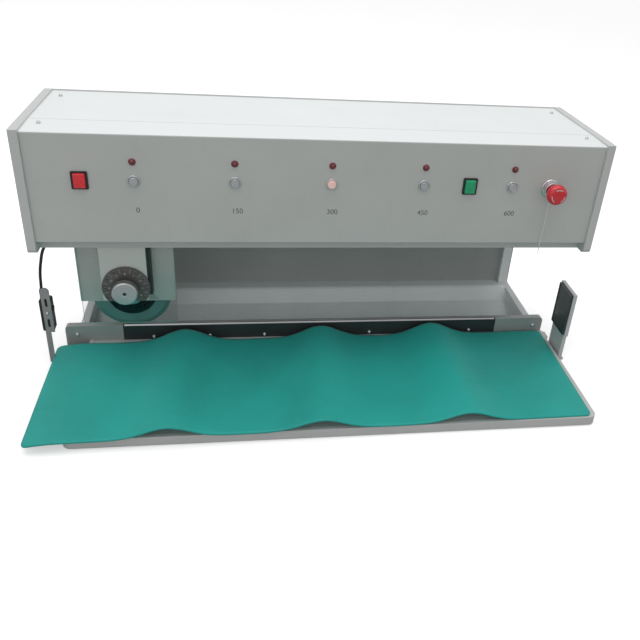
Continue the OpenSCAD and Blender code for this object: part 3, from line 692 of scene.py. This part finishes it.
class DEPANELER_OT_finishes(Maker):
    """Gives every CAD node its paint, metal or plastic"""
    bl_idname = "depaneler.finishes"
    bl_label = "Finishes"

    def make(self):
        dress(["front_panel", "motor_bracket", "idler_bracket"], material(panel_paint_and_painted_light))
        dress(["top_cover", "side_plates", "uprights", "base_plate"], material(shell_paint))
        dress(["end_plate_left", "end_plate_right", "tray", "reflector_bracket"], material(plate_paint))
        dress(["back_plate"], material(wall_paint))
        dress(["chute"], material(chute_paint))
        dress(["head_plate", "adjuster_block", "head_arm", "spindle_housing", "saddle", "belt_clamp",
               "rail_beam"], material(milled_aluminium))
        dress(["front_beam"], material(beam_steel))
        dress(["blade_holder", "slide_gib", "motor"], material(dark_steel))
        dress(["index_dial"], material(dial_steel))
        dress(["screws", "button_rings", "estop_collar", "spindle"] + BUTTONS, material(bright_steel))
        dress(["sensor_bracket", "power_supply"], material(plated_steel))
        dress(["linear_rails", "rail_blocks", "spindle_bearings", "straight_blade", "drive_pulley",
               "idler_pulley"], material(bearing_steel))
        dress(["switch_frames", "mains_inlet", "position_sensors", "sensor", "lead_junction"],
              material(black_plastic))
        dress(["rubber_feet", "drive_belt", "rubber_mat", "sensor_lead"], material(black_rubber))
        dress(["control_board"], material(circuit_lacquer))
        dress(["tag_string"], material(string_cotton))
        dress(["estop_head"], material(red_plastic))
        dress(["reflector"], material(reflector_plastic))
        dress(["indicator_lamps"], material(lens_plastic, "lamp_lens", settings("plastic").lamp))
        dress(["red_switch"], material(lens_plastic, "red_lens", settings("plastic").red, 0.12))
        dress(["green_switch"], material(lens_plastic, "green_lens", settings("plastic").green, 0.10))
        dress(["round_blade"], material(blade_steel, "blade_rings", "round_blade",
                                        settings("metal").blade, 0.30))
        dress(["blade_flange"], material(blade_steel, "flange_rings", "blade_flange", (0.02, 0.022, 0.024),
                                         0.34, 0.0012, 0.00001))
        dress(["adjusting_knob"], material(blade_steel, "knob_rings", "adjusting_knob",
                                           settings("metal").bright, 0.24))
        dress(["blade_guard"], material(clear_acrylic))


class DEPANELER_OT_mat(Maker):
    """Lays the rubber mat over the tray, with its three folds"""
    bl_idname = "depaneler.mat"
    bl_label = "Rubber Mat"

    def make(self):
        values = settings("mat")
        width, depth, aside, forward, overhang = 0.911, 0.266, 0.010, 0.0553, 0.055
        turn_x, turn_y, ripple_height = 0.011, 0.0125, 0.8 * MM
        centre = Vector((HOOD_MIDDLE - aside, PANEL_FACE - forward, TRAY_HIGH.z + 0.3 * MM))
        shape = bmesh.new()
        bmesh.ops.create_grid(shape, x_segments=180, y_segments=46, size=0.5)
        for vertex in shape.verts:
            x, y = self.rounded(vertex.co.x * width, vertex.co.y * depth, width, depth, values.corner)
            across = x - aside
            along = (y + depth / 2) / depth
            height = self.fold(across, along, values)
            over = max(0.0, TRAY_LOW.x - (centre.x + x))
            droop = values.droop * (over / overhang) ** 2
            ripple = ripple_height * math.sin(across * 31 + along * 2) * math.sin(along * 5 + across * 9)
            vertex.co = Vector((centre.x + x + turn_x * y, centre.y + y + turn_y * x,
                                centre.z + height - droop + max(0, ripple)))
        bmesh.ops.recalc_face_normals(shape, faces=shape.faces)
        mat = piece("mat", shape, [material(mat_rubber), material(black_rubber)], "frame")
        if mat.data.polygons[0].normal.z < 0:
            mat.data.flip_normals()
        skin = mat.modifiers.new("thickness", "SOLIDIFY")
        skin.thickness = values.thickness
        skin.offset = 1
        skin.use_rim = True
        skin.material_offset = 0
        smooth(mat)
        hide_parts("rubber_mat")

    def fold(self, across, along, values):
        """Height of the folds; along is 0 at the front edge and 1 at the beam."""
        total = 0.0
        for front, rear in FOLDS:
            off = (across - front - (rear - front) * along) / values.spread
            total += (values.fold + values.rise * along) * math.exp(-off * off)
        return total

    def rounded(self, x, y, width, depth, radius):
        """Pulls the corners of a rectangle in to a radius."""
        edge_x, edge_y = width / 2 - radius, depth / 2 - radius
        dx, dy = abs(x) - edge_x, abs(y) - edge_y
        if dx <= 0 or dy <= 0:
            return x, y
        share = max(dx, dy) / math.hypot(dx, dy)
        return (math.copysign(edge_x + dx * share, x), math.copysign(edge_y + dy * share, y))


class DEPANELER_OT_panel_numbers(Maker):
    """Prints the cutting lengths under the push-buttons"""
    bl_idname = "depaneler.panel_numbers"
    bl_label = "Panel Numbers"

    def make(self):
        values = settings("detail")
        shape = bmesh.new()
        for node, text in zip(BUTTONS, LENGTHS):
            button = middle(node)
            place = Vector((button.x + 3 * MM, PANEL_FACE - values.print_t / 2,
                            button.z - values.number_drop))
            add_lettering(shape, text, values.number, values.print_t / 2, place)
        piece("panel_numbers", shape, [material(dark_print)], "frame")


class DEPANELER_OT_dial_marks(Maker):
    """Marks the index dial with a number for each hole and a line between them"""
    bl_idname = "depaneler.dial_marks"
    bl_label = "Dial Marks"

    def make(self):
        values = settings("detail")
        centre = middle("adjusting_knob")
        face = DIAL_LOW.y - values.print_t / 2
        shape = bmesh.new()
        for index in range(-4, 5):
            angle = index * TURN / 12
            out = Vector((math.sin(angle), 0, math.cos(angle)))
            spot = Vector((centre.x, face, centre.z)) + out * DIAL_RADIUS * 0.68
            if spot.z - 3 * MM < DIAL_LOW.z:
                continue
            number = str((index + 12) % 12)
            add_lettering(shape, number, values.dial_number, values.print_t / 2, spot, angle)
            half = angle + TURN / 24
            out = Vector((math.sin(half), 0, math.cos(half)))
            end = Vector((centre.x, face, centre.z)) + out * DIAL_RADIUS * 0.96
            if end.z < DIAL_LOW.z + 4 * MM:
                continue
            line = slab((-0.25 * MM, -values.print_t / 2, -4.5 * MM),
                        (0.25 * MM, values.print_t / 2, 4.5 * MM), 0.03 * MM, 1)
            bmesh.ops.rotate(line, cent=(0, 0, 0), matrix=Matrix.Rotation(half, 3, "Y"), verts=line.verts)
            middle_of = Vector((centre.x, face, centre.z)) + out * DIAL_RADIUS * 0.84
            bmesh.ops.translate(line, vec=middle_of, verts=line.verts)
            join(shape, line)
        piece("dial_marks", shape, [material(white_print)], "carriage")


class DEPANELER_OT_knob(Maker):
    """Makes the adjusting knob with its knurled rim, and a thin dark disc in its socket as painted shade
    """
    bl_idname = "depaneler.knob"
    bl_label = "Adjusting Knob"

    def make(self):
        values = settings("detail")
        low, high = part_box("adjusting_knob")
        centre = middle("adjusting_knob")
        radius = (high.x - low.x) / 2
        face = low.y
        back = DIAL_LOW.y - 0.4 * MM
        steps = values.knurls * 2
        profile = [(0, face + 5 * MM), (3.0 * MM, face + 5 * MM), (3.0 * MM, face + 0.5 * MM),
                   (3.5 * MM, face), (radius - 2.2 * MM, face), (radius - 0.5 * MM, face + 1.0 * MM),
                   (radius, face + 2.4 * MM), (radius, face + 12.5 * MM),
                   (radius - 1.6 * MM, face + 14.2 * MM), (11 * MM, face + 14.5 * MM),
                   (11 * MM, back), (8 * MM, back), (8 * MM, high.y), (0, high.y)]
        shape = turned(profile, centre, steps)
        axis = Vector((centre.x, 0, centre.z))
        for vertex in shape.verts:
            arm = vertex.co - axis
            arm.y = 0
            if arm.length < radius - 0.1 * MM:
                continue
            turn = round(math.atan2(arm.z, arm.x) / (TURN / steps))
            if turn % 2:
                vertex.co -= arm.normalized() * 0.5 * MM
        knob = piece("knob", shape, [material(blade_steel, "knob_rings", "adjusting_knob",
                                             settings("metal").bright, 0.24)], "knob")
        smooth(knob, 0.35)
        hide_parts("adjusting_knob")
        # Painted shade: a thin dark disc inside the knob's bore stands in for the shade down in the
        # socket.
        shade_disc = bmesh.new()
        bmesh.ops.create_cone(shade_disc, cap_ends=True, segments=6, radius1=2.9 * MM, radius2=2.9 * MM,
                              depth=0.4 * MM)
        bmesh.ops.rotate(shade_disc, cent=(0, 0, 0), matrix=Matrix.Rotation(math.pi / 2, 3, "X"),
                         verts=shade_disc.verts)
        bmesh.ops.translate(shade_disc, vec=(centre.x, face + 1.2 * MM, centre.z), verts=shade_disc.verts)
        piece("knob_shade_disc", shade_disc, [material(dark_steel)], "knob")


class DEPANELER_OT_guard(Maker):
    """Makes the clear guard with polished rounded edges"""
    bl_idname = "depaneler.guard"
    bl_label = "Blade Guard"

    def make(self):
        low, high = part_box("blade_guard")
        block_low, block_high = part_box("adjuster_block")
        gib_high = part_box("slide_gib")[1]
        gap = 0.5 * MM
        hole = (block_low.x - gap, gib_high.x + gap, block_low.z - gap)
        shape = bmesh.new()
        bmesh.ops.create_grid(shape, x_segments=3, y_segments=2, size=0.5)
        columns = sorted({round(v.co.x, 4) for v in shape.verts})
        rows = sorted({round(v.co.y, 4) for v in shape.verts})
        across = dict(zip(columns, (low.x, hole[0], hole[1], high.x)))
        up = dict(zip(rows, (low.z, hole[2], high.z)))
        for vertex in shape.verts:
            vertex.co = Vector((across[round(vertex.co.x, 4)], low.y, up[round(vertex.co.y, 4)]))
        opening = [f for f in shape.faces if hole[0] < f.calc_center_median().x < hole[1]
                   and f.calc_center_median().z > hole[2]]
        bmesh.ops.delete(shape, geom=opening, context="FACES")
        sheet = bmesh.ops.extrude_face_region(shape, geom=shape.faces[:])
        moved = [g for g in sheet["geom"] if isinstance(g, bmesh.types.BMVert)]
        bmesh.ops.translate(shape, vec=(0, high.y - low.y, 0), verts=moved)
        bmesh.ops.recalc_face_normals(shape, faces=shape.faces)
        bmesh.ops.dissolve_limit(shape, angle_limit=0.01, verts=shape.verts, edges=shape.edges)
        sharp = [e for e in shape.edges if e.calc_face_angle(0) > 1]
        bmesh.ops.bevel(shape, geom=sharp, offset=0.35 * MM, segments=2, profile=0.5, affect="EDGES",
                        material=-1)
        for face in shape.faces:
            if abs(face.normal.y) < 0.9:
                face.material_index = 1
        guard = piece("guard_sheet", shape, [material(clear_acrylic), material(acrylic_edge)],
                      "carriage")
        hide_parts("blade_guard")


class DEPANELER_OT_lenses(Maker):
    """Caps the two square switches with bevelled lenses"""
    bl_idname = "depaneler.lenses"
    bl_label = "Switch Lenses"

    def make(self):
        plastic = settings("plastic")
        for node, name, tint, glow in (("red_switch", "red_lens", plastic.red, 0.12),
                                       ("green_switch", "green_lens", plastic.green, 0.10)):
            low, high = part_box(node)
            shape = slab(low + Vector((0.2, 0, 0.2)) * MM, high - Vector((0.2, 0, 0.2)) * MM, 1.3 * MM, 4)
            lens = piece(node + "_lens", shape, [material(lens_plastic, name, tint, glow)], node)
            smooth(lens)
            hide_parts(node)


class DEPANELER_OT_emergency_stop(Maker):
    """Shapes the emergency stop's mushroom head with its moulded arrows"""
    bl_idname = "depaneler.emergency_stop"
    bl_label = "Emergency Stop"

    def make(self):
        low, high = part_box("estop_head")
        centre = middle("estop_head")
        radius = (high.x - low.x) / 2
        front = low.y
        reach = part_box("estop_collar")[0].y - STOP_TRAVEL - 0.4 * MM
        share = min(1, (reach - front) / (25 * MM))
        profile = [(0, front)]
        profile += [(r * radius, front + d * share * MM) for r, d in
                    ((0.30, 0.15), (0.55, 0.55), (0.70, 1.1), (0.80, 1.9), (0.90, 3.6), (0.97, 6.2),
                     (1.0, 9.0), (1.0, 12.5), (0.97, 14.0), (0.86, 16.0), (0.72, 18.0))]
        profile += [(9.6 * MM, front + 20.5 * share * MM), (7 * MM, front + 25 * share * MM),
                    (7 * MM, high.y), (0, high.y)]
        shape = turned(profile, centre, 72)
        head = piece("stop_head", shape, [material(red_plastic)], "estop_head")
        smooth(head, 0.9)
        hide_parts("estop_head")
        arrows = bmesh.new()
        for start in (0, TURN / 3, 2 * TURN / 3):
            self.arrow(arrows, centre, front, radius * 0.62, start)
        piece("stop_arrows", arrows, [material(white_print)], "estop_head")

    def arrow(self, shape, centre, front, radius, start):
        """A curved arrow on the head, about a quarter of a turn long."""
        width = 1.1 * MM
        strip = bmesh.new()
        ends = [strip.verts.new((radius - width, 0, 0)), strip.verts.new((radius + width, 0, 0))]
        edge = strip.edges.new(ends)
        bmesh.ops.spin(strip, geom=ends + [edge], cent=(0, 0, 0), axis=(0, 1, 0), angle=TURN / 6,
                       steps=12)
        tip = Matrix.Rotation(TURN / 6, 3, "Y")
        point = Matrix.Rotation(TURN / 6 + 0.32, 3, "Y")
        corners = [tip @ Vector((radius - 2.2 * width, 0, 0)), tip @ Vector((radius + 2.2 * width, 0, 0)),
                   point @ Vector((radius, 0, 0))]
        bmesh.ops.contextual_create(strip, geom=[strip.verts.new(c) for c in corners])
        bmesh.ops.solidify(strip, geom=strip.faces[:], thickness=0.3 * MM)
        bmesh.ops.rotate(strip, cent=(0, 0, 0), matrix=Matrix.Rotation(start, 3, "Y"), verts=strip.verts)
        bmesh.ops.translate(strip, vec=(centre.x, front + 0.95 * MM, centre.z), verts=strip.verts)
        join(shape, strip)


class DEPANELER_OT_buttons(Maker):
    """Makes the five domed push-buttons and the glow of the one in use"""
    bl_idname = "depaneler.buttons"
    bl_label = "Push-Buttons"

    def make(self):
        for node in BUTTONS:
            low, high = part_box(node)
            radius = (high.x - low.x) / 2
            centre = middle(node)
            profile = [(0, low.y)]
            profile += [(radius * math.sin(a), low.y + 0.75 * MM * (1 - math.cos(a)))
                        for a in (0.25, 0.5, 0.75, 1.0, 1.2)]
            profile += [(radius - 0.25 * MM, low.y + 0.95 * MM), (radius, low.y + 1.4 * MM),
                        (radius, high.y), (0, high.y)]
            shape = turned(profile, centre, 48)
            cap = piece(node + "_cap", shape, [self.metal(node)], node)
            smooth(cap, 0.7)
            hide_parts(node)

    def metal(self, node):
        if node == BUTTONS[2]:
            return material(lens_plastic, "lit_cap", (0.62, 0.42, 0.38), 0.35)
        return material(bright_steel)


class DEPANELER_OT_sensor_details(Maker):
    """Adds the sensor's strain relief and status window"""
    bl_idname = "depaneler.sensor_details"
    bl_label = "Sensor Details"

    def make(self):
        low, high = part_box("sensor")
        lead_end = from_panel(LEAD_ROUTE[-1:])[0]
        relief = bmesh.new()
        bmesh.ops.create_cone(relief, cap_ends=True, segments=32, radius1=3.9 * MM, radius2=2.9 * MM,
                              depth=16 * MM)
        for ring in range(4):
            band = bmesh.new()
            bmesh.ops.create_cone(band, cap_ends=True, segments=32, radius1=4.1 * MM, radius2=3.8 * MM,
                                  depth=1.6 * MM)
            bmesh.ops.translate(band, vec=(0, 0, (-6 + ring * 3.4) * MM), verts=band.verts)
            join(relief, band)
        bmesh.ops.translate(relief, vec=lead_end + Vector((0, 0, 6 * MM)), verts=relief.verts)
        sleeve = piece("lead_relief", relief, [material(black_rubber)], "frame")
        smooth(sleeve)
        window = slab((low.x + 3 * MM, low.y + 4 * MM, high.z - 5.3 * MM),
                      (low.x + 8 * MM, low.y + 11 * MM, high.z - 4.7 * MM), 0.2 * MM, 2)
        piece("status_window", window, [material(lens_plastic, "lamp_lens", settings("plastic").lamp)],
              "frame")


class DEPANELER_OT_stage(Maker):
    """Builds the pale floor, the even sky and two soft lamps"""
    bl_idname = "depaneler.stage"
    bl_label = "Stage"

    def make(self):
        self.floor()
        self.sky()
        self.lamp("overhead", (-0.1, 0.15, 2.4), (0.0, 0.02, 0.2), 2.6, settings("stage").overhead)
        self.lamp("front", (-1.2, -2.2, 1.3), (0.0, 0.0, 0.2), 1.6, settings("stage").front)
        bpy.context.scene.view_settings.view_transform = "Standard"

    def floor(self):
        finish, tree, shader = new_material("stage_floor")
        sight = tree.nodes.new("ShaderNodeLightPath")
        colour = settings("stage").floor
        seen = add(tree, "Math", {0: sight.outputs["Is Camera Ray"], 1: 0.45}, operation="MULTIPLY")
        tint = blend_colours(tree, sight.outputs["Is Camera Ray"], (0.42, 0.42, 0.42), colour)
        tree.links.new(tint, shader.inputs["Base Color"])
        tree.links.new(seen.outputs["Value"], shader.inputs["Emission Strength"])
        shader.inputs["Emission Color"].default_value = (1, 1, 1, 1)
        shader.inputs["Roughness"].default_value = 0.9
        shape = bmesh.new()
        bmesh.ops.create_grid(shape, x_segments=1, y_segments=1, size=12)
        mesh = bpy.data.meshes.new("floor")
        shape.to_mesh(mesh)
        shape.free()
        mesh.materials.append(finish)
        floor = bpy.data.objects.new("floor", mesh)
        bpy.context.scene.collection.objects.link(floor)

    def sky(self):
        world = bpy.data.worlds.new("sky")
        world.use_nodes = True
        tree = world.node_tree
        background = tree.nodes["Background"]
        sight = tree.nodes.new("ShaderNodeLightPath")
        strength = add(tree, "MapRange", {"Value": sight.outputs["Is Camera Ray"],
                                          "To Min": settings("stage").sky, "To Max": 1.0})
        tree.links.new(strength.outputs["Result"], background.inputs["Strength"])
        background.inputs["Color"].default_value = (1, 1, 1, 1)
        bpy.context.scene.world = world

    def lamp(self, name, place, target, size, power):
        data = bpy.data.lights.new(name, "AREA")
        data.shape = "SQUARE"
        data.size = size
        data.energy = power
        lamp = bpy.data.objects.new(name, data)
        lamp.location = place
        aim = Vector(target) - Vector(place)
        lamp.rotation_mode = "QUATERNION"
        lamp.rotation_quaternion = aim.to_track_quat("-Z", "Y")
        bpy.context.scene.collection.objects.link(lamp)


OPERATORS = [
    DEPANELER_OT_camera,
    DEPANELER_OT_sensor_lead,
    DEPANELER_OT_tag_string,
    DEPANELER_OT_finishes,
    DEPANELER_OT_mat,
    DEPANELER_OT_panel_numbers,
    DEPANELER_OT_dial_marks,
    DEPANELER_OT_knob,
    DEPANELER_OT_guard,
    DEPANELER_OT_lenses,
    DEPANELER_OT_emergency_stop,
    DEPANELER_OT_buttons,
    DEPANELER_OT_sensor_details,
    DEPANELER_OT_stage,
]


class DEPANELER_PT_panel(bpy.types.Panel):
    """Lists the operators in the order in which they are run"""
    bl_idname = "DEPANELER_PT_panel"
    bl_label = "Depaneler"
    bl_space_type = "VIEW_3D"
    bl_region_type = "UI"
    bl_category = "Depaneler"

    def draw(self, context):
        for operator in OPERATORS:
            self.layout.operator(operator.bl_idname)
        for name, group in SETTINGS.items():
            box = self.layout.box()
            box.label(text=group.__name__)
            for field in group.__annotations__:
                box.prop(getattr(context.scene, name), field)


def register():
    for group in SETTINGS.values():
        bpy.utils.register_class(group)
    for operator in OPERATORS:
        bpy.utils.register_class(operator)
    bpy.utils.register_class(DEPANELER_PT_panel)
    for name, group in SETTINGS.items():
        setattr(bpy.types.Scene, name, PointerProperty(type=group))


def unregister():
    for name in SETTINGS:
        delattr(bpy.types.Scene, name)
    bpy.utils.unregister_class(DEPANELER_PT_panel)
    for operator in reversed(OPERATORS):
        bpy.utils.unregister_class(operator)
    for group in reversed(list(SETTINGS.values())):
        bpy.utils.unregister_class(group)


def main():
    register()
    for operator in OPERATORS:
        group, name = operator.bl_idname.split(".")
        getattr(getattr(bpy.ops, group), name)()


if __name__ == "__main__":
    main()
